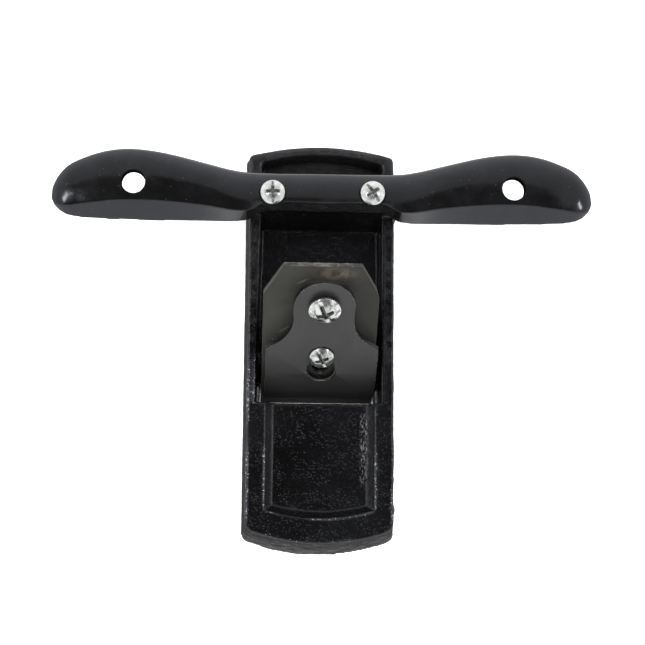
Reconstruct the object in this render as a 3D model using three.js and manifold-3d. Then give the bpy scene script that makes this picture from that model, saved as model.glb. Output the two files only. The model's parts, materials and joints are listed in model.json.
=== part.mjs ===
// Edge beveler: a cast-iron sole with an inclined cutter under a lever cap,
// pushed by a winged cross handle screwed over the heel.
// Millimetres, +Z up. The sole rests on Z = 0, the toe points along -Y, the
// heel along +Y and the wings along X. Y = 0 is the middle of the sole.

import * as THREE from 'three';
import Module from 'manifold-3d';
import { mergeVertices } from 'three/addons/utils/BufferGeometryUtils.js';

const wasm = await Module();
wasm.setup();

const degrees = THREE.MathUtils.degToRad;

// ---- Driving dimensions ----------------------------------------------------

const FIT_GAP = 0.3; // between a piece and the one it rests on

const SOLE_LENGTH = 163;
const SOLE_WIDTH = 60;
const TOE_RADIUS = 80;
const HEEL_RADIUS = 103;
const TOE_CORNER = 4;
const HEEL_CORNER = 1.8;
const RAIL_HEIGHT = 17.2;
const FLOOR_HEIGHT = 5;
const SIDE_TAPER = 1.5; // the side walls lean in by this much at the top
const TOE_TAPER = 4.4;
const HEEL_TAPER = 2.4;
const EDGE_ROUNDING = 0.9;
const SOLE_EDGE_BREAK = 0.4;

const CHANNEL_WIDTH = 48;
const HEEL_CHANNEL_WIDTH = 46;
const HEEL_WALL = 6.6; // from the sole's heel end to the foot of the channel's end wall
const HEEL_WALL_SAGITTA = 3.5; // how far the inside of the heel wall bows
const CHANNEL_DRAFT = 0.8;
const DECK_EDGE_Y = -23.1; // rear edge of the solid toe, the front wall of the mouth

const PANEL = { width: 43, floorWidth: 36.8, toeY: -68, floorToeY: -65, depth: 3.5, radius: 70 };

// Side view of the web, with its foot in the sole: y of the two faces at the foot and at the top.
const SADDLE = { width: 59.6, top: 20.5, root: 0.5, footFront: 47.3, footRear: 68, front: 52.2,
  rear: 65.6 };

const BED_ANGLE = degrees(45);
const EDGE_Y = -21.66; // where the cutter's upper face meets the sole
const EDGE_CLEARANCE = 0.15; // the cutting edge is set this far above the sole
const MOUTH_WIDTH = 46.4;
const MOUTH_OFFSET = -0.9; // the mouth and the cutter in it lie a little to the left

const CUTTER = { length: 65.8, width: 44, thickness: 2.5, offsetX: MOUTH_OFFSET, bevel: degrees(28) };
// Upper corners as ground by hand: [across, up] from the middle of the cutting edge.
const CUTTER_CORNERS = [[22, 50.8], [20.8, 55.1], [14.8, 65.8], [-14.6, 65.8], [-22, 53.1]];
const CUTTER_SLOT = { width: 6.6, start: 15, end: 42 };

// Up the slope, FROG.shoulder is where the bed leaves the rails and FROG.top where it ends.
const FROG = { thickness: 6.5, top: 38, shoulder: 22, neck: 25, tongueWidth: 38, cornerRadius: 6 };
const FROG_BOSS = { radius: 6.5, length: 6 };
const GUSSET = { x: 13, thickness: 4.5, front: 10, behindBed: 6 };
const BED_CLEAR_HEIGHT = 13.2; // the cutter's space is cut clear this far up between the rails

const CAP_TILT = degrees(4.3); // the cap's plate rises away from the cutter
const CAP = { width: 43.2, thickness: 2.3, bendS: 18.7, bendH: 5.1, lobeRadius: 11.5, lobeY: 34 };
const CAP_NOSE = { s: 4.2, topH: 1.4, chamfer: 0.3, land: 3.2, heel: 0.8 };
// Right-hand flare from the shoulder to the lobe: [across, up the plate from the bend].
const CAP_FLARE = [[21.6, 12.8], [19.2, 14.6], [16.6, 16.4], [14.6, 18.5], [13, 21.2], [11.9, 24],
  [11.4, 27.5]];
const KEYHOLE = { seat: 9.1, entry: 2.1, shankWidth: 5.8, entryRadius: 5.5, dishRadius: 5.2,
  rimRadius: 6.2, dishDepth: 0.8 };

const M5 = { shank: 2.4, head: 4.75, headHeight: 3.2, slot: 1.2 };
const M6 = { shank: 2.8, head: 6.1, headHeight: 4.2, slot: 1.5 };
const FULCRUM_S = 27.8;
const CLAMP_STANDOFF = 1.1;

const HANDLE_SPAN = 211.2;
const HANDLE_BOTTOM = 20.8;
const HANDLE_TOP = 30;
// The handle is screwed on a little to the right and turned a little, in degrees about the bar.
const HANDLE_SKEW = { shift: 0.3, y: 58, turn: 0.35 };
const HANG_HOLES = [[-73.6, 60.25], [74.4, 60.45]];
const HANG_HOLE = { radius: 4.5, rim: 0.8, foot: 2, footZ: 21.6 };
// Where the screws were drilled through the bar, and how their slots ended up.
const HANDLE_SCREWS = [
  { name: 'handle_screw_left', x: -19.8, y: 56.9, turn: 2 },
  { name: 'handle_screw_right', x: 19, y: 57.3, turn: 35 },
];
const HANDLE_SCREW_DEPTH = 14;
const SPOTFACE = { radius: 5.3, z: 29.4 };

// ---- Solids ----------------------------------------------------------------

/** Turns a closed three.js geometry into a manifold solid. */
function solid(geometry) {
  const bare = geometry.clone();
  bare.deleteAttribute('normal');
  bare.deleteAttribute('uv');
  const merged = mergeVertices(bare, 1e-5);
  return new wasm.Manifold(new wasm.Mesh({
    numProp: 3,
    vertProperties: new Float32Array(merged.attributes.position.array),
    triVerts: new Uint32Array(merged.index.array),
  }));
}

/** Turns a manifold solid back into a three.js geometry. */
function geometryOf(manifold) {
  const { vertProperties, triVerts } = manifold.getMesh();
  const geometry = new THREE.BufferGeometry();
  geometry.setAttribute('position', new THREE.BufferAttribute(vertProperties, 3));
  geometry.setIndex(new THREE.BufferAttribute(triVerts, 1));
  return geometry;
}

/** Joins rings of equal point count into a closed solid; flat() drops a ring to 2-D. */
function loft(rings, flat) {
  const count = rings[0].length;
  const positions = rings.flat().flatMap((point) => point.toArray());
  const indices = [];
  for (let ring = 0; ring < rings.length - 1; ring += 1) {
    for (let i = 0; i < count; i += 1) {
      const a = ring * count + i;
      const b = ring * count + ((i + 1) % count);
      indices.push(a, b, b + count, a, b + count, a + count);
    }
  }
  const last = (rings.length - 1) * count;
  for (const [a, b, c] of THREE.ShapeUtils.triangulateShape(rings[0].map(flat), [])) {
    indices.push(a, c, b);
  }
  for (const [a, b, c] of THREE.ShapeUtils.triangulateShape(rings.at(-1).map(flat), [])) {
    indices.push(last + a, last + b, last + c);
  }
  const geometry = new THREE.BufferGeometry();
  geometry.setAttribute('position', new THREE.Float32BufferAttribute(positions, 3));
  geometry.setIndex(indices);
  return solid(geometry);
}

/** A loft along Z through [outline, z] pairs of plan outlines. */
function loftUp(levels) {
  const rings = levels.map(([outline, z]) => outline.map((p) => new THREE.Vector3(p.x, p.y, z)));
  return loft(rings, (p) => new THREE.Vector2(p.x, p.y));
}

/** Extrudes a plan shape from z = low to z = high. */
function slab(shape, low, high) {
  const options = { depth: high - low, bevelEnabled: false, curveSegments: 12 };
  const geometry = new THREE.ExtrudeGeometry(shape, options);
  geometry.translate(0, 0, low);
  return solid(geometry);
}

/** Extrudes a side view, given as [y, z] points, across X about the middle plane. */
function sideSlab(points, width, centreX = 0) {
  const shape = new THREE.Shape(points.map(([y, z]) => new THREE.Vector2(y, z)));
  const geometry = new THREE.ExtrudeGeometry(shape, { depth: width, bevelEnabled: false });
  geometry.translate(0, 0, -width / 2);
  // (y, z, x) of the extrusion become the world's (x, y, z).
  geometry.applyMatrix4(new THREE.Matrix4().set(0, 0, 1, centreX, 1, 0, 0, 0, 0, 1, 0, 0, 0, 0, 0, 1));
  return solid(geometry);
}

/** A solid of revolution about Z from [radius, z] points that start and end on the axis. */
function turned(profile, segments = 32) {
  const points = profile.map(([radius, z]) => new THREE.Vector2(radius, z));
  const geometry = new THREE.LatheGeometry(points, segments);
  geometry.rotateX(Math.PI / 2);
  return solid(geometry);
}

/** A cylinder about Z through (x, y), from z = low to z = high. */
function rod(radius, low, high, x = 0, y = 0, segments = 32) {
  const geometry = new THREE.CylinderGeometry(radius, radius, high - low, segments);
  geometry.rotateX(Math.PI / 2);
  geometry.translate(x, y, (low + high) / 2);
  return solid(geometry);
}

function box(sizeX, sizeY, sizeZ, x, y, z) {
  return solid(new THREE.BoxGeometry(sizeX, sizeY, sizeZ).translate(x, y, z));
}

function arc(x, y, radius, from, to, steps) {
  const points = [];
  for (let i = 0; i <= steps; i += 1) {
    const angle = THREE.MathUtils.lerp(from, to, i / steps);
    points.push(new THREE.Vector2(x + radius * Math.cos(angle), y + radius * Math.sin(angle)));
  }
  return points;
}

/** A smooth curve y(x) through [x, y] knots, flat at both ends. */
function smooth(knots) {
  const slope = knots.map(([x, y], i) => {
    const before = knots[i - 1];
    const after = knots[i + 1];
    return before && after ? (after[1] - before[1]) / (after[0] - before[0]) : 0;
  });
  return (x) => {
    if (x <= knots[0][0]) return knots[0][1];
    if (x >= knots.at(-1)[0]) return knots.at(-1)[1];
    const i = knots.findIndex(([next]) => next > x) - 1;
    const [x0, y0] = knots[i];
    const [x1, y1] = knots[i + 1];
    const span = x1 - x0;
    const t = (x - x0) / span;
    const rise = t * t * (3 - 2 * t);
    const bend = span * t * (1 - t);
    return y0 + (y1 - y0) * rise + bend * ((1 - t) * slope[i] - t * slope[i + 1]);
  };
}

// ---- Body casting ----------------------------------------------------------

const soleEnd = SOLE_LENGTH / 2;

/** Plan outline with bowed toe and heel ends and rounded corners, counter-clockwise. */
function planOutline(half, toeY, heelY) {
  const toeCentre = toeY + TOE_RADIUS;
  const heelCentre = heelY - HEEL_RADIUS;
  const toeX = half - TOE_CORNER;
  const heelX = half - HEEL_CORNER;
  const toeAngle = Math.acos(toeX / (TOE_RADIUS - TOE_CORNER));
  const heelAngle = Math.acos(heelX / (HEEL_RADIUS - HEEL_CORNER));
  const toeCornerY = toeCentre - (TOE_RADIUS - TOE_CORNER) * Math.sin(toeAngle);
  const heelCornerY = heelCentre + (HEEL_RADIUS - HEEL_CORNER) * Math.sin(heelAngle);
  return [
    ...arc(0, toeCentre, TOE_RADIUS, toeAngle - Math.PI, -toeAngle, 16),
    ...arc(toeX, toeCornerY, TOE_CORNER, -toeAngle, 0, 5).slice(1),
    ...arc(heelX, heelCornerY, HEEL_CORNER, 0, heelAngle, 5),
    ...arc(0, heelCentre, HEEL_RADIUS, heelAngle, Math.PI - heelAngle, 16).slice(1),
    ...arc(-heelX, heelCornerY, HEEL_CORNER, Math.PI - heelAngle, Math.PI, 5).slice(1),
    ...arc(-toeX, toeCornerY, TOE_CORNER, Math.PI, Math.PI + toeAngle, 5).slice(0, -1),
  ];
}

/** The casting's outer block: leaning walls with a rounded upper edge. */
function outerBlock() {
  const ringAt = (z, inset) => {
    const lean = z / RAIL_HEIGHT;
    const half = SOLE_WIDTH / 2 - SIDE_TAPER * lean - inset;
    const toe = -soleEnd + TOE_TAPER * lean + inset;
    const heel = soleEnd - HEEL_TAPER * lean - inset;
    return [planOutline(half, toe, heel), z];
  };
  const levels = [ringAt(0, SOLE_EDGE_BREAK), ringAt(SOLE_EDGE_BREAK, 0)];
  const steps = 4;
  for (let i = 0; i <= steps; i += 1) {
    const angle = (Math.PI / 2) * (i / steps);
    const z = RAIL_HEIGHT - EDGE_ROUNDING * (1 - Math.sin(angle));
    levels.push(ringAt(z, EDGE_ROUNDING * (1 - Math.cos(angle))));
  }
  return loftUp(levels);
}

/** The open channel between the rails, from the mouth to the heel wall. */
function channel() {
  const outlineAt = (spread) => {
    const front = CHANNEL_WIDTH / 2 + spread;
    const rear = HEEL_CHANNEL_WIDTH / 2 + spread;
    const heelY = soleEnd - HEEL_WALL + spread;
    const radius = (rear ** 2 + HEEL_WALL_SAGITTA ** 2) / (2 * HEEL_WALL_SAGITTA);
    const half = Math.asin(rear / radius);
    return [
      new THREE.Vector2(MOUTH_OFFSET - front, DECK_EDGE_Y),
      new THREE.Vector2(MOUTH_OFFSET + front, DECK_EDGE_Y),
      ...arc(0, heelY - radius, radius, Math.PI / 2 - half, Math.PI / 2 + half, 12),
    ];
  };
  return loftUp([[outlineAt(0), FLOOR_HEIGHT], [outlineAt(CHANNEL_DRAFT), RAIL_HEIGHT + 1]]);
}

/** The shallow panel sunk in the toe, open towards the mouth. */
function toePanel() {
  const outlineAt = (width, toeY) => {
    const half = Math.asin(width / 2 / PANEL.radius);
    return [
      ...arc(0, toeY + PANEL.radius, PANEL.radius, -Math.PI / 2 - half, -Math.PI / 2 + half, 12),
      new THREE.Vector2(width / 2, DECK_EDGE_Y + 1),
      new THREE.Vector2(-width / 2, DECK_EDGE_Y + 1),
    ];
  };
  const floor = outlineAt(PANEL.floorWidth, PANEL.floorToeY);
  const rim = outlineAt(PANEL.width, PANEL.toeY);
  return loftUp([[floor, RAIL_HEIGHT - PANEL.depth], [rim, RAIL_HEIGHT], [rim, RAIL_HEIGHT + 1]]);
}

/** The cross web under the handle, standing proud of the rails. */
function saddle() {
  return sideSlab([
    [SADDLE.footFront, FLOOR_HEIGHT],
    [SADDLE.footFront, SADDLE.root],
    [SADDLE.footRear, SADDLE.root],
    [SADDLE.footRear, FLOOR_HEIGHT],
    [SADDLE.rear, SADDLE.top],
    [SADDLE.front, SADDLE.top],
  ], SADDLE.width);
}

// The bed's own frame: y runs up the slope from the cutting edge, z is square to it.
const bedFrame = new THREE.Matrix4()
  .makeRotationX(BED_ANGLE)
  .premultiply(new THREE.Matrix4().makeTranslation(0, EDGE_Y, EDGE_CLEARANCE));
const bedTop = -CUTTER.thickness - FIT_GAP;

function inBedFrame(manifold) {
  return solid(geometryOf(manifold).applyMatrix4(bedFrame));
}

/** The inclined bed between the rails, with a boss and two gussets behind it. */
function frog() {
  const wide = CHANNEL_WIDTH / 2 + 1;
  const narrow = FROG.tongueWidth / 2;
  const { top, shoulder, neck, cornerRadius: radius } = FROG;
  const belowSole = -4;
  const shape = new THREE.Shape();
  shape.moveTo(-wide, belowSole);
  shape.lineTo(wide, belowSole);
  shape.lineTo(wide, shoulder);
  shape.lineTo(narrow, neck);
  shape.absarc(narrow - radius, top - radius, radius, 0, Math.PI / 2);
  shape.absarc(-narrow + radius, top - radius, radius, Math.PI / 2, Math.PI);
  shape.lineTo(-narrow, neck);
  shape.lineTo(-wide, shoulder);
  const back = bedTop - FROG.thickness;
  const bed = slab(shape, back, bedTop);
  const boss = rod(FROG_BOSS.radius, back - FROG_BOSS.length, bedTop - 1, 0, FULCRUM_S, 24);
  return inBedFrame(bed.add(boss));
}

/** Triangular ribs that carry the bed from behind. */
function gusset(x) {
  const bedEnd = EDGE_Y + FROG.top * Math.cos(BED_ANGLE);
  const top = FROG.top * Math.sin(BED_ANGLE) - FROG.thickness;
  const foot = bedEnd + GUSSET.behindBed;
  const root = SADDLE.root;
  return sideSlab([
    [EDGE_Y + GUSSET.front, root],
    [foot, root],
    [foot, FLOOR_HEIGHT],
    [bedEnd, top],
  ], GUSSET.thickness, x);
}

/** Everything in front of the bed that must stay free for the cutter. */
function mouthAndBedSpace() {
  const slope = Math.tan(BED_ANGLE);
  const bedY = EDGE_Y - bedTop / Math.sin(BED_ANGLE) - EDGE_CLEARANCE / slope;
  return sideSlab([
    [DECK_EDGE_Y, -1],
    [bedY - 1 / slope, -1],
    [bedY + BED_CLEAR_HEIGHT / slope, BED_CLEAR_HEIGHT],
    [DECK_EDGE_Y, BED_CLEAR_HEIGHT],
  ], MOUTH_WIDTH, MOUTH_OFFSET);
}

function bodySolid() {
  let body = outerBlock().subtract(channel()).subtract(toePanel());
  body = body.add(saddle()).add(frog());
  for (const side of [-1, 1]) {
    body = body.add(gusset(side * GUSSET.x));
  }
  const belowSole = box(80, 60, 10, 0, EDGE_Y, -5);
  const bossEnd = bedTop - FROG.thickness - FROG_BOSS.length - 1;
  const fulcrumHole = inBedFrame(rod(M5.shank + FIT_GAP, bossEnd, 0, 0, FULCRUM_S));
  body = body.subtract(mouthAndBedSpace()).subtract(belowSole).subtract(fulcrumHole);
  const tappedTo = SADDLE.top - HANDLE_SCREW_DEPTH;
  for (const { x, y } of HANDLE_SCREWS) {
    body = body.subtract(rod(M5.shank + FIT_GAP, tappedTo, 30, x, y));
  }
  return body;
}

// ---- Cross handle ----------------------------------------------------------

const rearEdge = smooth([[0, 66.3], [28, 66.3], [35, 67.1], [47, 70], [60, 73.2], [70, 74.8],
  [78, 75], [86, 73.8], [94, 71], [99.5, 67.9], [103, 63.9], [105.3, 59], [105.6, 55.8]]);
const frontEdge = smooth([[0, 51.4], [23, 51.4], [30, 47.7], [46, 47], [80, 47], [96, 47.7],
  [101, 49], [104, 51.4], [105.4, 54], [105.6, 55.2]]);
// How far the flat front face reaches back from the front edge.
const creaseSetback = smooth([[0, 1.6], [26, 1.6], [33, 2.4], [46, 4.6], [62, 6.3], [78, 6.6],
  [94, 4.4], [102, 2], [105.6, 0.3]]);
const undersideRise = smooth([[0, 0], [30, 0], [60, 0.4], [90, 1.4], [101, 2.4], [104.6, 3.6],
  [105.6, 4.2]]);
const crownDrop = smooth([[0, 0], [60, 0], [88, 0.5], [99, 1.6], [103, 2.6], [104.8, 3.6],
  [105.6, 4.2]]);

/** Cross-section of the handle at a distance x from the middle, as [y, z] points. */
function handleSection(x) {
  const reach = Math.abs(x);
  const front = frontEdge(reach);
  const rear = rearEdge(reach);
  const low = HANDLE_BOTTOM + undersideRise(reach);
  const high = HANDLE_TOP - crownDrop(reach);
  const width = rear - front;
  const rise = high - low;
  const slope = width / 2;
  const crease = front + creaseSetback(reach);
  return [
    [front + width * 0.05, low],
    [rear - width * 0.12, low],
    [rear - width * 0.03, low + rise * 0.13],
    [rear, low + rise * 0.32],
    [rear - slope * 0.06, low + rise * 0.55],
    [rear - slope * 0.25, low + rise * 0.77],
    [rear - slope * 0.55, low + rise * 0.92],
    [rear - slope, high],
    [(rear - slope + crease) / 2, high],
    [crease, high - rise * 0.04],
    [front + (crease - front) * 0.48, low + rise * 0.56],
    [front + (crease - front) * 0.06, low + rise * 0.16],
    [front, low + rise * 0.06],
  ];
}

function handleSolid() {
  const tip = HANDLE_SPAN / 2;
  const spread = [0, 10, 20, 26, 29.5, 33, 39, 46, 53, 60, 67, 74, 81, 87, 92, 96, 99, 101, 102.6,
    103.8, 104.8, 105.4];
  const stations = [...spread.slice(1).reverse().map((x) => -x), ...spread];
  const rings = [-tip, ...stations, tip].map((x) => (
    handleSection(x).map(([y, z]) => new THREE.Vector3(x, y, z))
  ));
  let handle = loft(rings, (p) => new THREE.Vector2(p.y, p.z));
  const { shift, y: barY, turn } = HANDLE_SKEW;
  handle = handle.translate([0, -barY, 0]).rotate([0, 0, turn]).translate([shift, barY, 0]);
  const { radius, rim, foot, footZ } = HANG_HOLE;
  for (const [x, y] of HANG_HOLES) {
    const bore = turned([
      [0, 15],
      [radius + foot, 15],
      [radius + foot, footZ],
      [radius, footZ + foot],
      [radius, HANDLE_TOP - rim],
      [radius + rim, HANDLE_TOP],
      [radius + rim, 35],
      [0, 35],
    ]);
    handle = handle.subtract(bore.translate([x, y, 0]));
  }
  for (const { x, y } of HANDLE_SCREWS) {
    handle = handle.subtract(rod(M5.shank + FIT_GAP, 15, 35, x, y));
    handle = handle.subtract(rod(SPOTFACE.radius, SPOTFACE.z, 35, x, y));
  }
  return handle;
}

// ---- Screws ----------------------------------------------------------------

/** A domed screw with a combination slot and cross, its head's underside on z = 0. */
function screw({ shank, head, headHeight, slot }, length) {
  const rimHeight = headHeight * 0.35;
  const crown = headHeight - rimHeight;
  const sphere = (head ** 2 + crown ** 2) / (2 * crown);
  const sweep = Math.asin(head / sphere);
  const dome = arc(0, headHeight - sphere, sphere, Math.PI / 2 - sweep, Math.PI / 2, 6);
  const profile = [
    [0, -length],
    [shank - 0.6, -length],
    [shank, -length + 0.6],
    [shank, 0],
    [head, 0],
    ...dome.map((p) => [Math.max(p.x, 0), p.y]),
  ];
  profile[profile.length - 1][0] = 0;
  const reach = head * 0.6;
  const slotFloor = headHeight * 0.62;
  const crossFloor = headHeight * 0.35;
  const cut = 4;
  return turned(profile)
    .subtract(box(slot, head * 3, cut, 0, 0, slotFloor + cut / 2))
    .subtract(box(slot, reach * 1.6, cut, 0, 0, crossFloor + cut / 2))
    .subtract(box(reach * 1.6, slot, cut, 0, 0, crossFloor + cut / 2));
}

// ---- Cutter ----------------------------------------------------------------

/** The cutter in the bed's frame: y up the slope from the edge, z = 0 its upper face. */
function cutterSolid() {
  const half = CUTTER.width / 2;
  const { length, thickness, bevel, offsetX } = CUTTER;
  const outline = new THREE.Shape([[-half, -1], [half, -1], ...CUTTER_CORNERS].map(
    ([x, y]) => new THREE.Vector2(x + offsetX, y),
  ));
  const ground = thickness / Math.tan(bevel);
  const side = sideSlab([[0, 0], [ground, -thickness], [length + 1, -thickness], [length + 1, 0]], 60);
  const slotRadius = CUTTER_SLOT.width / 2;
  const slot = new THREE.Shape();
  slot.absarc(0, CUTTER_SLOT.start + slotRadius, slotRadius, Math.PI, 2 * Math.PI);
  slot.absarc(0, CUTTER_SLOT.end - slotRadius, slotRadius, 0, Math.PI);
  return slab(outline, -5, 5).intersect(side).subtract(slab(slot, -5, 5));
}

// ---- Lever cap -------------------------------------------------------------

/** The cap in its plate's frame: y up the plate from the bend, z = 0 its upper face. */
function capSolid() {
  const half = CAP.width / 2;
  const lobe = arc(0, CAP.lobeY, CAP.lobeRadius, 0, Math.PI, 30);
  const flare = new THREE.SplineCurve(CAP_FLARE.map(([x, y]) => new THREE.Vector2(x, y))).getPoints(24);
  const mirrored = flare.map((p) => new THREE.Vector2(-p.x, p.y)).reverse();
  const corners = [new THREE.Vector2(-half, -20), new THREE.Vector2(half, -20)];
  const shape = new THREE.Shape([...corners, ...flare, ...lobe, ...mirrored]);

  // The nose bends down to the cutter, given here by the bed's own coordinates.
  const nose = (s, h) => {
    const dy = s - CAP.bendS;
    const dz = h - CAP.bendH;
    const cos = Math.cos(CAP_TILT);
    const sin = Math.sin(CAP_TILT);
    return [dy * cos + dz * sin, dz * cos - dy * sin];
  };
  const plateEnd = CAP.lobeY + CAP.lobeRadius + 1;
  const side = sideSlab([
    [0, 0],
    nose(CAP_NOSE.s, CAP_NOSE.topH),
    nose(CAP_NOSE.s + CAP_NOSE.chamfer, FIT_GAP),
    nose(CAP_NOSE.s + CAP_NOSE.land, FIT_GAP),
    [CAP_NOSE.heel, -CAP.thickness],
    [plateEnd, -CAP.thickness],
    [plateEnd, 0],
  ], 60);

  const { seat, entry, shankWidth, entryRadius, dishRadius, rimRadius, dishDepth } = KEYHOLE;
  const dish = new THREE.Shape();
  dish.absarc(0, entry, rimRadius, Math.PI + 0.14, -0.14);
  dish.absarc(0, seat, dishRadius, 0, Math.PI);
  const slot = new THREE.Shape();
  slot.moveTo(-shankWidth / 2, entry);
  slot.lineTo(shankWidth / 2, entry);
  slot.absarc(0, seat, shankWidth / 2, 0, Math.PI);
  return slab(shape, -20, 5)
    .intersect(side)
    .subtract(slab(dish, -dishDepth, 5))
    .subtract(slab(slot, -20, 5))
    .subtract(rod(entryRadius, -20, 5, 0, entry))
    .subtract(rod(M6.shank + FIT_GAP, -20, 5, 0, CAP.lobeY));
}

// ---- Materials and assembly ------------------------------------------------

const castBlack = { color: 0x1d1d1f, roughness: 0.7, metalness: 0.3 };
const glossBlack = { color: 0x161618, roughness: 0.25, metalness: 0.2 };
const toolSteel = { color: 0x5c5a54, roughness: 0.45, metalness: 0.9 };
const capSteel = { color: 0x4a4c50, roughness: 0.4, metalness: 0.9 };
const zinc = { color: 0xcfcec8, roughness: 0.25, metalness: 1 };

function piece(name, manifold, finish) {
  const mesh = new THREE.Mesh(geometryOf(manifold), new THREE.MeshStandardMaterial(finish));
  mesh.name = name;
  return mesh;
}

const edgeBeveler = new THREE.Group();
edgeBeveler.add(piece('body', bodySolid(), castBlack));
edgeBeveler.add(piece('cross_handle', handleSolid(), glossBlack));

const handleScrewSolid = screw(M5, SPOTFACE.z + FIT_GAP - SADDLE.top + HANDLE_SCREW_DEPTH - 1);
for (const { name, x, y, turn } of HANDLE_SCREWS) {
  const handleScrew = piece(name, handleScrewSolid, zinc);
  handleScrew.position.set(x, y, SPOTFACE.z + FIT_GAP);
  handleScrew.rotation.z = degrees(turn);
  edgeBeveler.add(handleScrew);
}

const bed = new THREE.Group();
bed.position.set(0, EDGE_Y, EDGE_CLEARANCE);
bed.rotation.x = BED_ANGLE;
edgeBeveler.add(bed);
bed.add(piece('cutter', cutterSolid(), toolSteel));

const plate = new THREE.Group();
plate.position.set(0, CAP.bendS, CAP.bendH);
plate.rotation.x = CAP_TILT;
bed.add(plate);
plate.add(piece('lever_cap', capSolid(), capSteel));

const seatHeight = CAP.bendH + KEYHOLE.seat * Math.tan(CAP_TILT) - KEYHOLE.dishDepth + 2 * FIT_GAP;
const fulcrumScrew = piece('fulcrum_screw', screw(M5, seatHeight - bedTop + FROG.thickness + 3), zinc);
fulcrumScrew.position.set(0, FULCRUM_S, seatHeight);
fulcrumScrew.rotation.z = degrees(32);
bed.add(fulcrumScrew);

const clampRise = CAP.bendH + CAP.lobeY * Math.sin(CAP_TILT);
const clampScrew = piece('clamp_screw', screw(M6, clampRise + CLAMP_STANDOFF - 2 * FIT_GAP), zinc);
clampScrew.position.set(0, CAP.lobeY, CLAMP_STANDOFF);
clampScrew.rotation.z = degrees(30);
plate.add(clampScrew);

export default edgeBeveler;
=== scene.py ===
"""Looks of a leatherworker's edge beveler: a black cast sole and handle, a steel cutter, its cap and screws.

Lengths are metres, except where a comment says millimetres. MM turns those into metres.
"""

import itertools
import json
import math

import bmesh
import bpy
import numpy as np
from mathutils import Matrix, Quaternion, Vector


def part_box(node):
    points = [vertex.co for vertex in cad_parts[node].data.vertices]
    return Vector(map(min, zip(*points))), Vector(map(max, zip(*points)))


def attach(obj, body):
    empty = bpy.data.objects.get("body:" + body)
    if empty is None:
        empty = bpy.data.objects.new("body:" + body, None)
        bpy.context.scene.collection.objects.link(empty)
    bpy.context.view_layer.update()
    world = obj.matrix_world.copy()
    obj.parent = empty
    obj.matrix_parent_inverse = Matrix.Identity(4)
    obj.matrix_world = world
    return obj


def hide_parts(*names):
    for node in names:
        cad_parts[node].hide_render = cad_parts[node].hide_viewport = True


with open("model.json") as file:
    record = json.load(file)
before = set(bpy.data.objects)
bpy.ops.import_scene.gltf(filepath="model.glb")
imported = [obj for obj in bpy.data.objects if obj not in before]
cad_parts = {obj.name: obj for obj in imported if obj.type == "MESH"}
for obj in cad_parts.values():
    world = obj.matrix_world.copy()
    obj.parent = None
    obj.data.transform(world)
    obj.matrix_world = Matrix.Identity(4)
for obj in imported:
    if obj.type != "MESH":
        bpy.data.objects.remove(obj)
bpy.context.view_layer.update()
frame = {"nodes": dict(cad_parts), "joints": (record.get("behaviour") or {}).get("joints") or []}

MM = 0.001
NODES = frame["nodes"]
JOINTS = {joint["name"]: joint for joint in frame["joints"]}

# ---- Camera ----------------------------------------------------------------

VIEW_TILT = math.radians(8.9)  # the camera stands a little towards the toe
VIEW_SWING = math.radians(2.97)  # and a little to the left
VIEW_ROLL = math.radians(0.48)
VIEW_DISTANCE = 0.6062
VIEW_TARGET = Vector((1.47 * MM, 11.02 * MM, 0))
LENS_MM = 84.12
# From the target towards the camera.
VIEW_BACK = Vector((
    -math.sin(VIEW_SWING),
    -math.sin(VIEW_TILT) * math.cos(VIEW_SWING),
    math.cos(VIEW_TILT) * math.cos(VIEW_SWING),
))


def make_camera():
    right = Vector((0, 1, 0)).cross(VIEW_BACK).normalized()
    level = Matrix((right, VIEW_BACK.cross(right), VIEW_BACK)).transposed()
    turned = level @ Matrix.Rotation(VIEW_ROLL, 3, "Z")
    data = bpy.data.cameras.new("camera")
    data.lens = LENS_MM
    data.clip_start = 0.01
    camera = bpy.data.objects.new("camera", data)
    camera.matrix_world = Matrix.Translation(VIEW_TARGET + VIEW_BACK * VIEW_DISTANCE) @ turned.to_4x4()
    bpy.context.scene.collection.objects.link(camera)
    bpy.context.scene.camera = camera


# ---- Mesh helpers ----------------------------------------------------------

CORNERS = ((-1, -1), (1, -1), (1, 1), (-1, 1))  # of a square, anticlockwise
SOFT_ROUNDS = 3  # smoothing that softens the edges of a remeshed piece


def add_object(name, mesh):
    piece = bpy.data.objects.new(name, mesh)
    bpy.context.scene.collection.objects.link(piece)
    return piece


def mesh_from(name, points, faces):
    mesh = bpy.data.meshes.new(name)
    mesh.from_pydata(np.asarray(points).tolist(), [], faces)
    mesh.update()
    return mesh


def apply_modifiers(piece):
    graph = bpy.context.evaluated_depsgraph_get()
    mesh = bpy.data.meshes.new_from_object(piece.evaluated_get(graph), depsgraph=graph)
    piece.modifiers.clear()
    piece.data = mesh


def cad_copy(name, node):
    """A new object with a CAD node's shape, its corners welded."""
    mesh = bpy.data.meshes.new(name)
    work = bmesh.new()
    work.from_mesh(NODES[node].data)
    bmesh.ops.remove_doubles(work, verts=work.verts, dist=0.001 * MM)
    work.to_mesh(mesh)
    work.free()
    for layer in ("custom_normal", "UVMap"):
        if layer in mesh.attributes:
            mesh.attributes.remove(mesh.attributes[layer])
    return add_object(name, mesh)


def remesh(piece, voxel):
    """Rebuilds the piece's surface from even quads about one voxel across."""
    modifier = piece.modifiers.new("remesh", "REMESH")
    modifier.mode = "VOXEL"
    modifier.voxel_size = voxel
    modifier.use_smooth_shade = True
    apply_modifiers(piece)


def cut(piece, cutter_mesh):
    """Subtracts a closed mesh from the piece."""
    cutter = add_object("cutting_tool", cutter_mesh)
    modifier = piece.modifiers.new("cut", "BOOLEAN")
    modifier.operation = "DIFFERENCE"
    modifier.solver = "EXACT"
    modifier.object = cutter
    apply_modifiers(piece)
    bpy.data.objects.remove(cutter)


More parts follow.
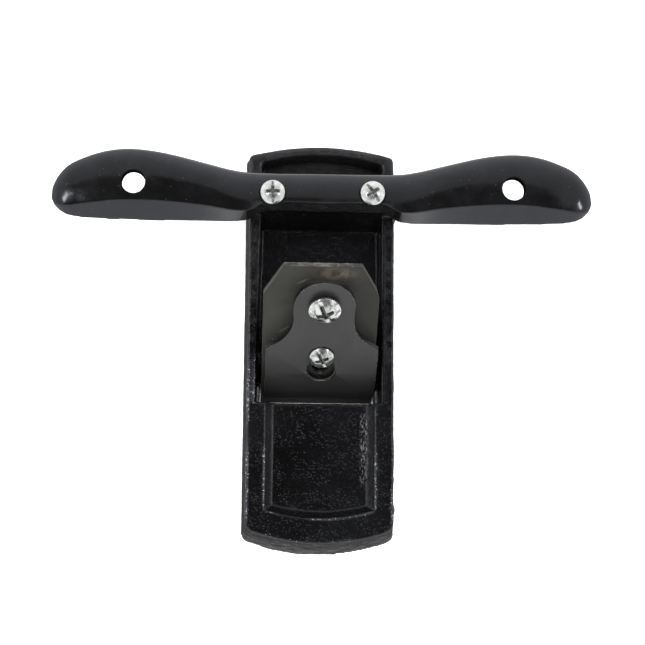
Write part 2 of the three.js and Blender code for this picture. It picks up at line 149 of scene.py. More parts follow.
def lathe(profile, sides):
    """Points and faces of a closed solid turned round Z from a profile of [radius, height], bottom to top."""
    turns = 2 * np.pi * np.arange(sides) / sides
    rings = [(r * np.cos(turns), r * np.sin(turns), np.full(sides, z)) for r, z in profile]
    points = np.concatenate([np.stack(ring, axis=1) for ring in rings])
    faces = [list(range(sides))[::-1]]
    for i, j in itertools.product(range(len(profile) - 1), range(sides)):
        a = i * sides + j
        b = i * sides + (j + 1) % sides
        faces.append([a, b, b + sides, a + sides])
    faces.append([(len(profile) - 1) * sides + j for j in range(sides)])
    return points, faces


class Surface:
    """A mesh's points, edges and normals as arrays, for smoothing and displacement."""

    def __init__(self, mesh):
        self.mesh = mesh
        self.points = np.empty(len(mesh.vertices) * 3)
        mesh.vertices.foreach_get("co", self.points)
        self.points = self.points.reshape(-1, 3)
        edges = np.empty(len(mesh.edges) * 2, int)
        mesh.edges.foreach_get("vertices", edges)
        first, second = edges.reshape(-1, 2).T
        self.ends = np.concatenate([first, second])
        self.starts = np.concatenate([second, first])
        self.degree = np.maximum(np.bincount(self.ends, minlength=len(self.points)), 1)

    def mean_of_neighbours(self, values):
        sums = [np.bincount(self.ends, weights=v[self.starts], minlength=len(v)) for v in values.T]
        return np.stack(sums, axis=1) / self.degree[:, None]

    def relaxed(self, rounds):
        """The points after rounds of moving halfway to the mean of their neighbours."""
        points = self.points
        for _ in range(rounds):
            points = points + 0.5 * (self.mean_of_neighbours(points) - points)
        return points

    def write(self):
        self.mesh.vertices.foreach_set("co", self.points.ravel())
        self.mesh.update()

    def normals(self):
        self.write()
        found = np.empty(len(self.points) * 3)
        self.mesh.vertex_normals.foreach_get("vector", found)
        return found.reshape(-1, 3)

    def standing_out(self, rounds):
        """How far each point stands out of its smoothed surroundings, in metres, negative in hollows."""
        return ((self.points - self.relaxed(rounds)) * self.normals()).sum(axis=1)

    def set_attribute(self, name, values):
        attribute = self.mesh.attributes.new(name, "FLOAT", "POINT")
        attribute.data.foreach_set("value", values.astype(np.float32))


def lumps(points, size, seed):
    """Smooth noise from -1 to 1, with bumps about size across."""
    scaled = points / size + 1000
    cell = np.floor(scaled).astype(np.int64)
    inside = scaled - cell
    blend = inside * inside * (3 - 2 * inside)
    total = np.zeros(len(points))
    for corner in itertools.product((0, 1), repeat=3):
        x, y, z = (cell + corner).T
        hashed = (x * 73856093) ^ (y * 19349663) ^ (z * 83492791) ^ (seed * 2654435761)
        hashed = ((hashed ^ (hashed >> 13)) * 1274126177) & 0xFFFFFFFF
        value = ((hashed ^ (hashed >> 16)) & 0xFFFF) / 0x7FFF - 1
        total += value * np.where(corner, blend, 1 - blend).prod(axis=1)
    return total


def ripples(points, layers):
    """The sum of layers of lumps, each given by its height, its size and its seed, in millimetres."""
    return sum(height * lumps(points, size * MM, seed) for height, size, seed in layers)


def step(values, low, high):
    """0 below low, 1 above high and smooth between."""
    t = np.clip((values - low) / (high - low), 0, 1)
    return t * t * (3 - 2 * t)


def above(values, low, high):
    """A step from 0 to 1, its limits in millimetres."""
    return step(values, low * MM, high * MM)


def below(values, low, high):
    """A step from 1 down to 0, its limits in millimetres."""
    return step(-values, -high * MM, -low * MM)


def band(values, low, full_low, full_high, high):
    """0 outside low to high and 1 from full_low to full_high, in millimetres."""
    return above(values, low, full_low) * below(values, full_high, high)


# ---- Finishes --------------------------------------------------------------

class Finish:
    """A procedural material, and the kinds of node it is made of."""

    def __init__(self, name):
        self.material = bpy.data.materials.new(name)
        self.material.use_nodes = True
        self.tree = self.material.node_tree
        self.shader = self.tree.nodes["Principled BSDF"]
        self.place = self.node("TexCoord").outputs["Object"]

    def node(self, kind, inputs=None, **settings):
        made = self.tree.nodes.new("ShaderNode" + kind)
        for key, value in settings.items():
            setattr(made, key, value)
        for key, value in (inputs or {}).items():
            self.feed(made.inputs[key], value)
        return made

    def feed(self, socket, value):
        if isinstance(value, bpy.types.NodeSocket):
            self.tree.links.new(value, socket)
        else:
            socket.default_value = value

    def set(self, **inputs):
        for key, value in inputs.items():
            self.feed(self.shader.inputs[key.replace("_", " ")], value)

    def along(self, angle, stretch=(1, 1, 1), origin=(0, 0, 0)):
        """Object coordinates laid out from origin along a slope that rises by angle, then stretched."""
        moved = self.node("Mapping", {0: self.place, "Location": [-v for v in origin]})
        turned = self.node("Mapping", {0: moved.outputs[0], "Rotation": (-angle, 0, 0)})
        scaled = self.node("Mapping", {0: turned.outputs[0], "Scale": stretch})
        return scaled.outputs[0]

    def noise(self, size, detail=3, roughness=0.5, place=None, distortion=0):
        """Noise from 0 to 1 with features about size across."""
        return self.node("TexNoise", {
            "Vector": place or self.place, "Scale": 0.5 / size, "Detail": detail, "Roughness": roughness,
            "Distortion": distortion,
        }).outputs["Fac"]

    def cells(self, size):
        """Distance from the nearest of points scattered about size apart, in sizes."""
        return self.node("TexVoronoi", {"Vector": self.place, "Scale": 1 / size}).outputs["Distance"]

    def calc(self, operation, a, b):
        return self.node("Math", {0: a, 1: b}, operation=operation).outputs[0]

    def range(self, value, low, high, to_low=0.0, to_high=1.0):
        """value taken from low..high to to_low..to_high, clamped."""
        return self.node("MapRange", {
            "Value": value, "From Min": low, "From Max": high, "To Min": to_low, "To Max": to_high,
        }, clamp=True).outputs["Result"]

    def attribute(self, name):
        return self.node("Attribute", attribute_name=name).outputs["Fac"]

    def mix(self, share, a, b):
        """Colour a where share is 0, colour b where it is 1."""
        made = self.node("Mix", data_type="RGBA")
        self.feed(made.inputs[0], share)
        self.feed(made.inputs[6], a)
        self.feed(made.inputs[7], b)
        return made.outputs[2]

    def bump(self, height, depth, under=None):
        """A normal for relief of some depth, on top of the relief under it."""
        inputs = {"Height": height, "Distance": depth, "Strength": 1.0}
        if under is not None:
            inputs["Normal"] = under
        return self.node("Bump", inputs).outputs["Normal"]


def grey(value, tint=(1, 1, 1)):
    return [value * t for t in tint] + [1]


GLOSS_TINT = (0.95, 0.98, 1.08, 1)  # of the gloss on black paint
PAINT_TINT = (1, 1, 1.06)
CUTTER_TINT = (1, 1, 0.9)
CAP_TINT = (1, 1, 0.98)


def cast_finish():
    """Black paint over rough cast iron, thin on the edges, with the underside ground bare."""
    finish = Finish("cast_black")
    wear = finish.attribute("wear")
    rough = finish.attribute("rough")
    sole = finish.attribute("sole")
    patches = finish.noise(12 * MM, detail=4)
    mottle = finish.noise(1.4 * MM, detail=4, roughness=0.7)

    # Paint, then a paler grey that is painted light on the heel and saddle and paler patches on the rails,
    # worn edges, and bright specks that are partly iron showing through and partly painted glints.
    dark, light = grey(0.0006, (1, 1, 1.08)), grey(0.0012, PAINT_TINT)
    colour = finish.mix(finish.range(patches, 0.35, 0.7), dark, light)
    # The dust share is a paler grey painted as light on the heel and saddle, and paler patches on the rails.
    dust = finish.calc("MULTIPLY", finish.attribute("dust"), finish.range(mottle, 0.35, 0.65, 0.5, 1))
    colour = finish.mix(dust, colour, grey(0.011, (1, 1, 1.04)))
    colour = finish.mix(finish.range(wear, 0.3, 1, 0, 0.5), colour, grey(0.02, (0.9, 0.95, 1.15)))
    # Bright specks along worn edges, partly iron showing through and partly painted glints.
    speck_field = finish.noise(0.5 * MM, detail=2, roughness=0.7)
    speck_level = finish.range(wear, 0, 1, 0.75, 0.57)
    chips_and_glints = finish.range(finish.calc("SUBTRACT", speck_field, speck_level), 0, 0.04)
    colour = finish.mix(finish.calc("MULTIPLY", chips_and_glints, 0.55), colour, grey(0.3))

    # Slanted dashes in the sunk panel's corner, painted paler as glints and raised a little so they glint too.
    slanted = finish.node("Mapping", {
        0: finish.place, "Rotation": (0, 0, math.radians(35)), "Scale": (1, 0.4, 1),
    }).outputs[0]
    dashes = finish.range(finish.noise(0.3 * MM, detail=2, place=slanted), 0.52, 0.6)
    glint = finish.calc("MULTIPLY", dashes, finish.attribute("glint_strip"))
    colour = finish.mix(finish.calc("MULTIPLY", glint, 0.7), colour, grey(0.06))

    # The sand's texture, from pebbles down to grains, and sparse pimples.
    pebble = finish.noise(1.5 * MM, detail=3, roughness=0.55)
    grain = finish.noise(0.45 * MM, detail=3, roughness=0.65)
    sown = finish.range(finish.noise(4 * MM, detail=3), 0.35, 0.6, 0.3, 1)
    pimples = finish.calc("MULTIPLY", finish.range(finish.cells(0.85 * MM), 0.36, 0.1), sown)
    bump = finish.bump(pebble, finish.range(rough, 0, 1, 0.1 * MM, 0.4 * MM))
    bump = finish.bump(glint, 0.1 * MM, bump)
    bump = finish.bump(grain, finish.range(rough, 0, 1, 0.06 * MM, 0.09 * MM), bump)
    bump = finish.bump(pimples, 0.1 * MM, bump)

    # The ground underside, scratched lengthways.
    scratches = finish.noise(0.25 * MM, place=finish.along(0, (1, 0.02, 1)))
    ground = finish.mix(finish.range(scratches, 0.3, 0.7), grey(0.3), grey(0.5, (1, 1, 0.98)))
    finish.set(
        Base_Color=finish.mix(sole, colour, ground),
        Metallic=finish.calc("MAXIMUM", sole, finish.calc("MULTIPLY", chips_and_glints, 0.5)),
        Roughness=finish.range(patches, 0.3, 0.7, 0.18, 0.3),
        Specular_IOR_Level=finish.mix(rough, grey(0.42), finish.range(mottle, 0.38, 0.62, 0.22, 0.62)),
        Specular_Tint=GLOSS_TINT,
        Normal=bump,
    )
    return finish.material


def enamel_finish():
    """Smooth gloss black paint with a fine orange peel, smears, settled dust, and paler patches painted as
    light on the bar's front.
    """
    finish = Finish("enamel_black")
    smear = finish.noise(6 * MM, detail=5, roughness=0.65, distortion=0.4)
    dark, light = grey(0.0016, PAINT_TINT), grey(0.0036, PAINT_TINT)
    colour = finish.mix(finish.range(smear, 0.42, 0.72), dark, light)
    dust = finish.range(finish.cells(2.6 * MM), 0.09, 0.04)
    colour = finish.mix(finish.calc("MULTIPLY", dust, 0.05), colour, grey(0.5))
    # Paler patches on the bar's front, painted as the light that falls on it.
    front_light_patches = finish.range(finish.noise(1.6 * MM, detail=4, roughness=0.7), 0.4, 0.62, 0.4, 1)
    front_light_patches = finish.calc("MULTIPLY", front_light_patches, finish.attribute("bar_front"))
    colour = finish.mix(front_light_patches, colour, grey(0.012))
    peel = finish.noise(1.4 * MM, detail=2)
    grit = finish.noise(0.5 * MM, detail=2)
    finish.set(
        Base_Color=colour,
        Roughness=finish.range(smear, 0.35, 0.7, 0.1, 0.2),
        Specular_IOR_Level=finish.range(finish.attribute("bore"), 0, 1, 0.5, 0),
        Specular_Tint=GLOSS_TINT,
        Normal=finish.bump(grit, 0.008 * MM, finish.bump(peel, 0.03 * MM)),
    )
    return finish.material


def steel_finish(name, tone, sheen, tint, slope, origin, marks=None):
    """Dark steel with fine cross grain and mottling, on a face that rises by slope from origin.

    tone is its brightness, sheen its gloss, and marks(finish, place, colour) adds stains, scratches and
    painted shade.
    """
    finish = Finish(name)
    place = finish.along(slope, origin=origin)
    grain = finish.noise(0.3 * MM, detail=2, place=finish.along(slope, (0.06, 1, 1), origin))
    cloud = finish.noise(6 * MM, detail=5, roughness=0.6, place=place)
    speckle = finish.noise(0.6 * MM, detail=3, place=place)
    colour = finish.mix(finish.range(cloud, 0.3, 0.7), grey(tone * 0.82, tint), grey(tone * 1.12, tint))
    colour = finish.mix(finish.range(speckle, 0.62, 0.78, 0, 0.25), colour, grey(tone * 1.7, tint))
    if marks:
        colour = marks(finish, place, colour)
    finish.set(
        Base_Color=colour,
        Specular_IOR_Level=sheen,
        Roughness=finish.range(cloud, 0.25, 0.75, 0.42, 0.32),
        Normal=finish.bump(speckle, 0.02 * MM, finish.bump(grain, 0.012 * MM)),
    )
    return finish.material


def edge_highlight_finish(name, tone, tint):
    """Steel rubbed bright in patches where an edge is handled, its brightness partly a painted highlight along
    the edge.
    """
    finish = Finish(name)
    nicks = finish.noise(0.8 * MM, detail=4, roughness=0.7)
    patches = finish.noise(3.5 * MM, detail=4, roughness=0.7)
    rubbed = finish.mix(finish.range(nicks, 0.35, 0.65), grey(tone * 0.6, tint), grey(tone * 1.25, tint))
    finish.set(
        Base_Color=finish.mix(finish.range(patches, 0.46, 0.54), grey(tone * 0.15, tint), rubbed),
        Metallic=0.3,
        Roughness=0.42,
        Normal=finish.bump(nicks, 0.03 * MM),
    )
    return finish.material


def spot(finish, place, centre, half_size, turn):
    """1 at the centre of an ellipse on a slope's face, 0 outside it. turn is anticlockwise from across."""
    moved = finish.node("Mapping", {0: place, "Location": (-centre[0], -centre[1], 0)}).outputs[0]
    turned = finish.node("Mapping", {0: moved, "Rotation": (0, 0, -turn)}).outputs[0]
    scaled = finish.node("Mapping", {0: turned, "Scale": (1 / half_size[0], 1 / half_size[1], 0)}).outputs[0]
    reach = finish.node("VectorMath", {0: scaled}, operation="LENGTH").outputs["Value"]
    return finish.range(reach, 1.0, 0.5)


# The cutter's marks as centre, half size and turn, in degrees and in millimetres across the blade and up from
# its edge.
CUTTER_STAIN = ((3.5, 62.6), (9.5, 3.6), 0)
CUTTER_HAZE = ((0.5, 63), (17, 4.5), 0)
CUTTER_SCRATCHES = [
    ((6.6, 62.9), (2.8, 0.25), 50),
    ((-14.6, 36.5), (3.2, 0.3), 36),
    ((-8.3, 58.9), (3, 0.4), 30),
    ((-18.9, 31.5), (0.5, 0.5), 0),
]
CUTTER_SHADED_SIDE = (4 * MM, 18 * MM)


def cutter_marks(finish, place, colour):
    """A right side painted darker as shade, a rust stain in a brown haze under the top edge, and pale
    scratches.
    """
    def mark(centre, half_size, turn):
        return spot(finish, place, np.array(centre) * MM, np.array(half_size) * MM, math.radians(turn))

    # The right side of the cutter is painted darker as shade.
    across = finish.node("SeparateXYZ", {0: place}).outputs["X"]
    side = finish.range(across, *CUTTER_SHADED_SIDE, 0, 0.35)
    colour = finish.mix(side, colour, grey(0.004))
    haze = finish.calc("MULTIPLY", mark(*CUTTER_HAZE), 0.45)
    colour = finish.mix(haze, colour, grey(0.024, (1.08, 0.99, 0.85)))
    blotch = finish.range(finish.noise(1.8 * MM, detail=4, place=place), 0.36, 0.58)
    stain = finish.calc("MULTIPLY", mark(*CUTTER_STAIN), blotch)
    colour = finish.mix(finish.calc("MULTIPLY", stain, 0.75), colour, grey(0.05, (1.25, 0.98, 0.7)))
    for scratch in CUTTER_SCRATCHES:
        colour = finish.mix(finish.calc("MULTIPLY", mark(*scratch), 0.6), colour, grey(0.07))
    return colour


def zinc_finish(name, grime_and_shade):
    """Bright zinc plate with a soft grain. The grime share, from 0 to 1, smudges it with grime and darkens its
    recesses as painted shade.
    """
    finish = Finish(name)
    cloud = finish.noise(0.9 * MM, detail=4)
    dull, bright = grey(0.5, (0.96, 1, 0.97)), grey(0.72, (0.98, 1, 0.98))
    colour = finish.mix(finish.range(cloud, 0.35, 0.7), dull, bright)
    smut = finish.range(finish.noise(1.1 * MM, detail=3, distortion=0.6), 0.47, 0.6, 0, grime_and_shade)
    colour = finish.mix(smut, colour, grey(0.1, (1, 1, 0.95)))
    # Recesses painted darker as shade, the more so the larger the grime share.
    recess = grey(0.42 - 0.42 * grime_and_shade, (0.95, 1, 0.98))
    finish.set(
        Base_Color=finish.mix(finish.range(finish.attribute("hollow"), 0.2, 0.9), colour, recess),
        Metallic=0.95,
        Roughness=finish.range(cloud, 0.3, 0.7, 0.14, 0.3),
        Normal=finish.bump(finish.noise(0.25 * MM, detail=3), 0.03 * MM),
    )
    return finish.material


# ---- Sole casting ----------------------------------------------------------

BODY_VOXEL = 0.42 * MM
SOLE_SKIN = 0.25 * MM  # points this near the underside stay on its flat face
RIM_ROUNDS = 36  # smoothing that rolls the heel's rim
EDGE_ROUNDS = 20  # smoothing that shows how far an edge stands out
EDGE_KEPT = 0.8  # share of a standing edge that is given back
HEEL_WEAR = 0.25  # wear of an edge at the heel, where it is 1 at the toe

# The rest of this section's constants are in millimetres.
# Half the mouth's width, just clear of the cutter, and the room that a cheek fills at each end of it.
MOUTH = {"middle": -0.9, "half": 22.6, "end": 24.2, "front": -24, "rear": -14, "top": 7.5}

# Blobs left by the mould: place, radius and height.
CASTING_LUMPS = [
    ((-28.6, 73, 15), 2.2, 0.9),
    ((-20.5, 69.5, 14), 1.5, 0.8),
    ((29, -42, 12), 6, 0.5),
    ((28.5, -64, 16.5), 1.5, 0.6),
]

# Zones of the surface, as the limits between which they fade in or out. reach is a distance from a middle x.
HEEL_RIM = {"y": (66, 71), "z": (9, 13)}
WORN_TOE = (-24, 10)
PANEL_SIDE = {"x": (14, 17, 18.5, 20), "y": (-56, -52, -28, -26)}
PANEL_GLINT = {"middle": 17.3, "reach": (0.9, 1.9), "y": (-56, -50, -29, -26)}
OUTER_WALLS = {"x": (25.5, 27), "y": (66, 70)}
BESIDE_CUTTER = {"reach": (23.4, 24), "y": (-25, -24, -14, -13)}
# The heel and the saddle get a paler grey painted as light, and the rails get paler patches.
RAIL_PATCHES = {"x": (24, 25.5), "y": (-16, -10)}
LIT_HEEL = {"y": (62, 68), "corner": (18, 26)}
LIT_SADDLE = (44, 50)
WORN_EDGE = (0.05, 0.16)  # how far a worn edge stands out

# Ripples as height, size and seed.
SKIN_RIPPLES = [(0.07, 7, 1), (0.05, 2.6, 2), (0.035, 1.3, 3)]
WORN_RIPPLES = [(0.16, 2.2, 4)]
WALL_RIPPLES = [(0.14, 9, 5), (0.1, 4, 6)]
ROUGH_RIPPLES = [(0.12, 1.6, 7)]
WORN_SWELL = 0.06
WALL_SETBACK = 0.14
WALL_HOLLOW = {"depth": 0.45, "top": 17.0}  # the outer walls are a little hollow up to this height


def add_cheek(piece, side):
    """A block that narrows the mouth to the cutter at one end."""
    across = [MOUTH["middle"] + side * MOUTH["half"], MOUTH["middle"] + side * MOUTH["end"]]
    low = Vector((min(across), MOUTH["front"], SOLE_SKIN / MM)) * MM
    high = Vector((max(across), MOUTH["rear"], MOUTH["top"])) * MM
    work = bmesh.new()
    work.from_mesh(piece.data)
    for vert in bmesh.ops.create_cube(work, size=1)["verts"]:
        vert.co = [l + (h - l) * (c + 0.5) for l, h, c in zip(low, high, vert.co)]
    work.to_mesh(piece.data)
    work.free()


def soften(surface, on_sole):
    """Rounds the casting's edges and rolls the heel's rim, with the sole kept flat. Returns where it rolls."""
    relaxed = surface.relaxed(SOFT_ROUNDS)
    rolled = above(relaxed[:, 1], *HEEL_RIM["y"]) * above(relaxed[:, 2], *HEEL_RIM["z"])
    relaxed += rolled[:, None] * (surface.relaxed(RIM_ROUNDS) - relaxed)
    relaxed[on_sole, 2] = surface.points[on_sole, 2]
    surface.points = relaxed
    return rolled


def heel_light_and_rail_patches(points):
    """A paler grey on the heel, less at its corners and on the saddle, that is painted light, and paler
    patches on the rails.
    """
    x, y = np.abs(points[:, 0]), points[:, 1]
    heel = above(y, *LIT_HEEL["y"]) * (1 - 0.6 * above(x, *LIT_HEEL["corner"]))
    patches = step(lumps(points, 3 * MM, 9) + lumps(points, 1.4 * MM, 10), -0.4, 0.6)
    rails = above(x, *RAIL_PATCHES["x"]) * above(y, *RAIL_PATCHES["y"]) * patches
    return np.maximum(0.15 * above(y, *LIT_SADDLE) + 0.85 * heel, 0.5 * rails)


def make_body(finish):
    """The sole casting with soft edges, ripples and lumps."""
    piece = cad_copy("sole_casting", "body")
    for side in (-1, 1):
        add_cheek(piece, side)
    remesh(piece, BODY_VOXEL)
    surface = Surface(piece.data)
    on_sole = surface.points[:, 2] < SOLE_SKIN
    rolled = soften(surface, on_sole)
    edge = surface.standing_out(EDGE_ROUNDS)
    normals = surface.normals()
    points = surface.points
    x, y, z = points.T

    worn_place = below(y, *WORN_TOE) * (1 - rolled)
    wear = above(edge, *WORN_EDGE) * (HEEL_WEAR + (1 - HEEL_WEAR) * worn_place)
    wear *= step(lumps(points, 9 * MM, 8), -0.9, 0.5)
    upright = step(1 - np.abs(normals[:, 2]), 0.4, 0.8)
    rough = np.maximum(upright, band(x, *PANEL_SIDE["x"]) * band(y, *PANEL_SIDE["y"]))
    outer = np.maximum(above(np.abs(x), *OUTER_WALLS["x"]), above(np.abs(y), *OUTER_WALLS["y"]))
    hollow = upright * outer * np.sin(np.pi * np.clip(z / (WALL_HOLLOW["top"] * MM), 0, 1))
    beside_cutter = below(np.abs(x - MOUTH["middle"] * MM), *BESIDE_CUTTER["reach"])
    beside_cutter *= band(y, *BESIDE_CUTTER["y"])

    ripple = ripples(points, SKIN_RIPPLES)
    ripple += wear * (ripples(points, WORN_RIPPLES) + WORN_SWELL)
    ripple += upright * (ripples(points, WALL_RIPPLES) - WALL_SETBACK)
    ripple += rough * ripples(points, ROUGH_RIPPLES)
    ripple -= WALL_HOLLOW["depth"] * hollow
    push = ripple * MM + EDGE_KEPT * np.maximum(edge, 0)
    for place, radius, height in CASTING_LUMPS:
        reach = np.linalg.norm(points - np.array(place) * MM, axis=1) / (radius * MM)
        push += height * MM * np.exp(-reach**2)
    push *= 1 - beside_cutter
    push[on_sole] = 0
    low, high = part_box("body")
    surface.points = np.clip(points + normals * push[:, None], np.array(low), np.array(high))
    surface.write()

    # The strip where slanted dashes are painted paler as glints.
    glint_strip = below(np.abs(x - PANEL_GLINT["middle"] * MM), *PANEL_GLINT["reach"]) * band(y, *PANEL_GLINT["y"])
    surface.set_attribute("wear", wear * (1 - beside_cutter))
    surface.set_attribute("rough", rough)
    surface.set_attribute("glint_strip", glint_strip)
    # This attribute carries the painted light on the heel and saddle and the paler patches on the rails.
    surface.set_attribute("dust", heel_light_and_rail_patches(points))
    surface.set_attribute("sole", step(-normals[:, 2], 0.8, 0.95) * on_sole)
    piece.data.materials.append(finish)
    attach(piece, "stock")
    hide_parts("body")


# ---- Cross handle ----------------------------------------------------------

HANDLE_VOXEL = 0.42 * MM

# The rest of this section's constants are in millimetres.
HALF_SPAN = 105.6
HANDLE_LOW = 20.8
HANDLE_HIGH = 30.0
HANDLE_SKEW = {"shift": 0.3, "y": 58.0, "turn": math.radians(0.35)}  # sideways, and about the bar's middle
HANG_HOLES = [(-73.6, 60.25), (74.4, 60.45)]
HANG_HOLE = {"radius": 4.5, "rim": 0.8, "foot": 2.6, "foot_z": 23.0}
SCREW_HOLES = [(-19.8, 56.9), (19.0, 57.3)]
SCREW_HOLE = {"radius": 2.7, "seat_radius": 5.3, "seat_z": 29.4}
BORE_ENDS = (15, 40)  # heights below and above the handle that every bore is cut between
BORE_SKIN = (0.1, 0.45)  # how deep the unlit finish of a bore reaches into the handle
HANDLE_RIPPLES = [(0.05, 9, 11), (0.02, 3.5, 12)]
BAR_FRONT = {"x": (24, 30), "y": (52.5, 54.5)}  # where the lumps and the paler patches painted as light on the bar's front fade out
BAR_FRONT_RIPPLES = [(0.12, 1.8, 13)]

# Points along a section's rear slope and along each flatter side, and stations from the middle to a tip.
SECTION_POINTS = {"slope": 24, "flat": 9}
STATIONS = 150
REAR_SLOPE = {"foot": 0.32, "rise": 0.68}  # shares of the handle's height
FACE_DEPTH = 0.9  # share of the height that the front face goes down
FOOT = {"front": 0.05, "rear": 0.12, "corner": 0.03, "corner_rise": 0.13}  # shares of the width and height


def smooth(knots):
    """A curve through (x, y) knots that is flat at both ends, as a function of an array of x."""
    xs, ys = np.array(knots, float).T
    slopes = np.zeros(len(xs))
    slopes[1:-1] = (ys[2:] - ys[:-2]) / (xs[2:] - xs[:-2])

    def curve(x):
        x = np.clip(x, xs[0], xs[-1])
        i = np.clip(np.searchsorted(xs, x, side="right") - 1, 0, len(xs) - 2)
        span = xs[i + 1] - xs[i]
        t = (x - xs[i]) / span
        bend = span * t * (1 - t) * ((1 - t) * slopes[i] - t * slopes[i + 1])
        return ys[i] + (ys[i + 1] - ys[i]) * t * t * (3 - 2 * t) + bend

    return curve


# Against the distance from the handle's middle: the y of its two edges, how far the crease lies behind the
# front edge, how far the underside rises and the crown drops, the rear slope's share of the width, and the
# crown's fall towards the front as a share of the height.
rear_edge = smooth([
    (0, 66.3), (28, 66.3), (35, 67.1), (47, 70), (60, 73.2), (70, 74.8), (78, 75), (86, 73.8), (94, 71),
    (99.5, 67.9), (103, 63.9), (105.3, 59), (105.6, 55.8),
])
front_edge = smooth([
    (0, 51.4), (23, 51.4), (30, 47.7), (46, 47), (80, 47), (96, 47.7), (101, 49), (104, 51.4), (105.4, 54),
    (105.6, 55.2),
])
crease_setback = smooth([
    (0, 1.6), (26, 1.6), (33, 2.4), (46, 4.6), (62, 6.3), (78, 6.6), (94, 4.4), (102, 2), (105.6, 0.3),
])
underside_rise = smooth([(0, 0), (30, 0), (60, 0.4), (90, 1.4), (101, 2.4), (104.6, 3.6), (105.6, 4.2)])
crown_drop = smooth([(0, 0), (60, 0), (88, 0.5), (99, 1.6), (103, 2.6), (104.8, 3.6), (105.6, 4.2)])
rear_share = smooth([(0, 0.86), (24, 0.86), (48, 0.52), (90, 0.5), (105.6, 0.5)])
crown_bow = smooth([(0, 0.03), (84, 0.03), (100, 0.14), (105.6, 0.2)])


def handle_sections(x):
    """For each station, the section's outline as (y, z): foot, flat front face, crown and rear slope."""
    distance = np.abs(x)[:, None]
    low = HANDLE_LOW + underside_rise(distance)
    high = HANDLE_HIGH - crown_drop(distance)
    rear = rear_edge(distance)
    front = front_edge(distance)
    width = rear - front
    rise = high - low
    slope = width * rear_share(distance)
    crease = front + crease_setback(distance)
    bow = crown_bow(distance)
    turn = np.linspace(0, np.pi / 2, SECTION_POINTS["slope"])
    flat = np.linspace(0, 1, SECTION_POINTS["flat"])[1:]
    slope_y = rear - slope * (1 - np.cos(turn))
    slope_z = low + rise * (REAR_SLOPE["foot"] + REAR_SLOPE["rise"] * np.sin(turn))
    crown_y = rear - slope + (crease - rear + slope) * flat
    crown_z = high - bow * rise * flat**2
    face_y = crease + (front - crease) * flat
    face_z = high - rise * (bow + (FACE_DEPTH - bow) * flat)
    foot_y = [front + FOOT["front"] * width, rear - FOOT["rear"] * width, rear - FOOT["corner"] * width]
    foot_z = [low, low, low + FOOT["corner_rise"] * rise]
    y = np.concatenate([slope_y, crown_y, face_y, *foot_y], axis=1)
    z = np.concatenate([slope_z, crown_z, face_z, *foot_z], axis=1)
    return np.stack([y, z], axis=-1)[:, ::-1]


def handle_mesh():
    """The handle's outer shape, lofted from tip to tip."""
    spread = HALF_SPAN * np.sin(np.linspace(0, np.pi / 2, STATIONS))
    stations = np.concatenate([-spread[:0:-1], spread])
    sections = handle_sections(stations)
    count = sections.shape[1]
    across = np.repeat(stations, count)
    points = np.column_stack([across, sections.reshape(-1, 2)])
    faces = [list(range(count))]
    for i, j in itertools.product(range(len(stations) - 1), range(count)):
        a = i * count + j
        b = i * count + (j + 1) % count
        faces.append([a, a + count, b + count, b])
    faces.append([(len(stations) - 1) * count + j for j in range(count)][::-1])
    mesh = mesh_from("handle", points * MM, faces)
    bar = Vector((0, HANDLE_SKEW["y"] * MM, 0))
    shift = Vector((HANDLE_SKEW["shift"] * MM, 0, 0))
    turn = Matrix.Rotation(HANDLE_SKEW["turn"], 4, "Z")
    mesh.transform(Matrix.Translation(bar + shift) @ turn @ Matrix.Translation(-bar))
    return mesh


def bore(x, y, profile):
    """A turned cutting tool standing at (x, y)."""
    points, faces = lathe(profile, 72)
    return mesh_from("bore", (points + [x, y, 0]) * MM, faces)


def hang_hole_profile():
    """A hang hole's tool: a flared foot, a straight bore and a rounded rim."""
    radius, rim, foot, foot_z = (HANG_HOLE[key] for key in ("radius", "rim", "foot", "foot_z"))
    turn = np.linspace(0, np.pi / 2, 8)
    rounded = zip(radius + rim * (1 - np.cos(turn)), HANDLE_HIGH - rim * (1 - np.sin(turn)))
    start, end = BORE_ENDS
    flare = [[radius + foot, start], [radius + foot, foot_z], [radius, foot_z + foot]]
    return [*flare, *rounded, [radius + rim, end]]


def screw_hole_profile():
    """A screw hole's tool: a bore under the screw's flat seat."""
    radius, seat, seat_z = (SCREW_HOLE[key] for key in ("radius", "seat_radius", "seat_z"))
    start, end = BORE_ENDS
    return [[radius, start], [radius, seat_z], [seat, seat_z], [seat, end]]


